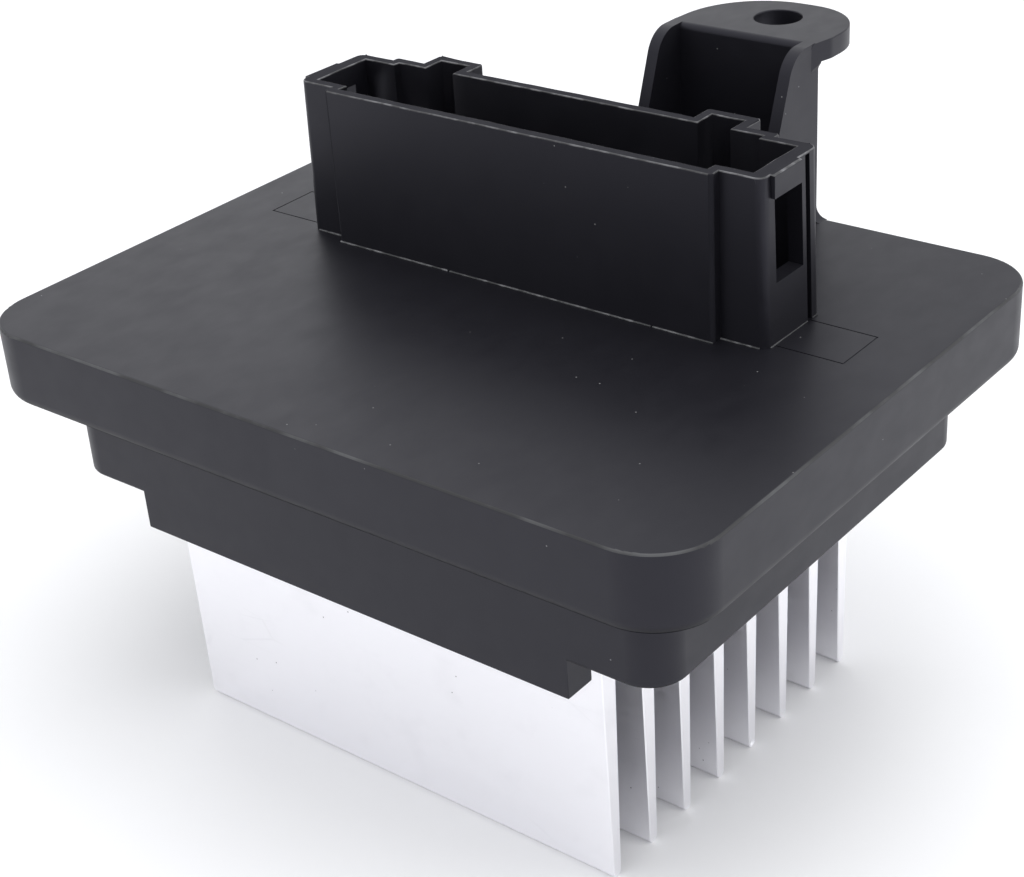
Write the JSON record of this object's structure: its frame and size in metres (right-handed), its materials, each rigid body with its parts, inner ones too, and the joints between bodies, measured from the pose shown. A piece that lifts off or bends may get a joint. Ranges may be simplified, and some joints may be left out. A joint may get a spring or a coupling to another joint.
{
  "type": "blower motor resistor",
  "caption": "Blower motor speed control unit: a black moulded flange with an open plug socket and a screw ear above, and a finned aluminium heat sink below.",
  "frame": {"origin": "middle of the flange's lower seating face, in the middle of the duct opening that the skirt fills", "axes": "+Z out of the duct towards the plug socket and the screw ear, +X along the plug socket, +Y towards the screw ear"},
  "size_m": [0.09, 0.0792, 0.0689],
  "materials": {
    "housing_plastic": "satin",
    "heatsink_aluminium": "satin",
    "seal_rubber": "matte",
    "screw_steel": "satin",
    "board_laminate": "satin",
    "terminal_metal": "satin",
    "lead_metal": "satin",
    "chip_plastic": "matte",
    "pad_rubber": "matte",
    "can_aluminium": "satin",
    "shunt_alloy": "satin",
    "chip_ceramic": "matte",
    "capacitor_ceramic": "matte"
  },
  "bodies": {
    "root": {"housing": "housing_plastic", "heatsink": "heatsink_aluminium", "heatsink_gasket": "seal_rubber", "heatsink_screws": "screw_steel", "circuit_board": "board_laminate", "board_screws": "screw_steel", "supply_terminal": "terminal_metal", "control_terminal": "terminal_metal", "feedback_terminal": "terminal_metal", "ground_terminal": "terminal_metal", "motor_terminal": "terminal_metal", "left_transistor_body": "chip_plastic", "right_transistor_body": "chip_plastic", "left_transistor_frame": "lead_metal", "right_transistor_frame": "lead_metal", "left_thermal_pad": "pad_rubber", "right_thermal_pad": "pad_rubber", "transistor_washers": "screw_steel", "transistor_screws": "screw_steel", "capacitor_can": "can_aluminium", "capacitor_leads": "lead_metal", "shunt_strip": "shunt_alloy", "control_chip_body": "chip_plastic", "control_chip_leads": "lead_metal", "chip_resistors": "chip_ceramic", "ceramic_capacitors": "capacitor_ceramic", "flyback_diode_body": "chip_plastic", "flyback_diode_tabs": "lead_metal"}
  },
  "joints": []
}
